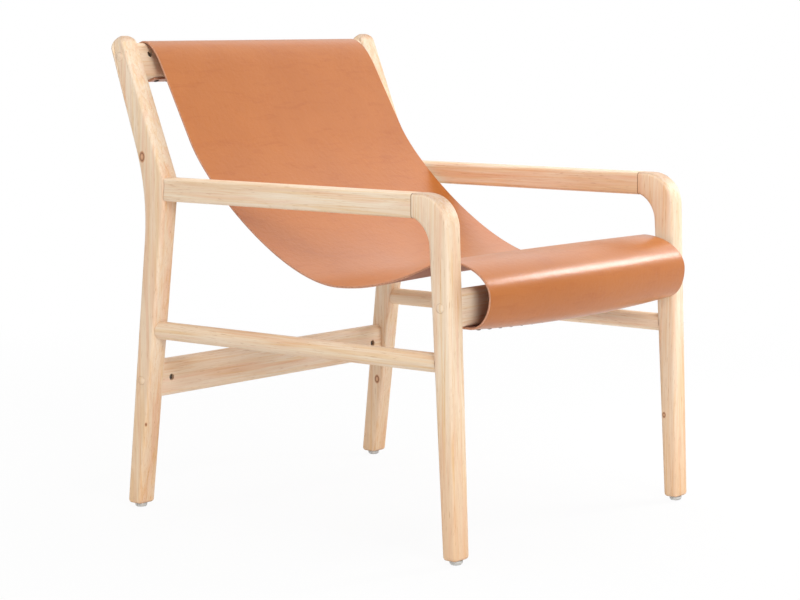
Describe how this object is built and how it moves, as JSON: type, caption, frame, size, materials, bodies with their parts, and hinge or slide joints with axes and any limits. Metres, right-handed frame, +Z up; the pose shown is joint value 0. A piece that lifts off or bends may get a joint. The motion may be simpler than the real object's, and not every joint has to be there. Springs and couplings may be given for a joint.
{
  "type": "sling lounge chair",
  "caption": "Low wooden lounge chair whose back and seat are one sheet of thick leather, hung from the top rail and rolled over the front rail between open side frames.",
  "frame": {"origin": "on the floor, under the middle of the chair's box", "axes": "+Z up, the sitter faces -Y, +X to the sitter's left"},
  "size_m": [0.6298, 0.7246, 0.7629],
  "materials": {
    "frame_wood": "clear oiled pale hardwood",
    "dowel_wood": "bare turned hardwood",
    "sling_leather": "smooth tan saddle leather, waxed",
    "fitting_steel": "zinc plated",
    "glide_plastic": "milky moulded plastic"
  },
  "bodies": {
    "root": {"front_leg_left": "frame_wood", "front_leg_right": "frame_wood", "rear_post_left": "frame_wood", "rear_post_right": "frame_wood", "arm_rail_left": "frame_wood", "arm_rail_right": "frame_wood", "side_stretcher_left": "frame_wood", "side_stretcher_right": "frame_wood", "front_rail": "frame_wood", "rear_stretcher": "frame_wood", "top_rail": "frame_wood", "leather_sling": "sling_leather", "front_glide_left": "glide_plastic", "front_glide_right": "glide_plastic", "rear_glide_left": "glide_plastic", "rear_glide_right": "glide_plastic", "arm_dowel_upper_left": "dowel_wood", "arm_dowel_lower_left": "dowel_wood", "arm_dowel_upper_right": "dowel_wood", "arm_dowel_lower_right": "dowel_wood", "front_rail_dowel_left": "dowel_wood", "front_rail_dowel_right": "dowel_wood", "rear_stretcher_dowel_left": "dowel_wood", "rear_stretcher_dowel_right": "dowel_wood", "top_rail_dowel_left": "dowel_wood", "top_rail_dowel_right": "dowel_wood", "front_rail_plug_left": "frame_wood", "front_rail_plug_right": "frame_wood", "rear_stretcher_plug_left": "frame_wood", "rear_stretcher_plug_right": "frame_wood", "top_rail_plug_left": "frame_wood", "top_rail_plug_right": "frame_wood", "front_rail_bolt_left": "fitting_steel", "front_rail_bolt_right": "fitting_steel", "rear_stretcher_bolt_left": "fitting_steel", "rear_stretcher_bolt_right": "fitting_steel", "top_rail_bolt_left": "fitting_steel", "top_rail_bolt_right": "fitting_steel", "front_rail_barrel_nut_left": "fitting_steel", "front_rail_barrel_nut_right": "fitting_steel", "rear_stretcher_barrel_nut_left": "fitting_steel", "rear_stretcher_barrel_nut_right": "fitting_steel", "top_rail_barrel_nut_left": "fitting_steel", "top_rail_barrel_nut_right": "fitting_steel"}
  },
  "joints": []
}
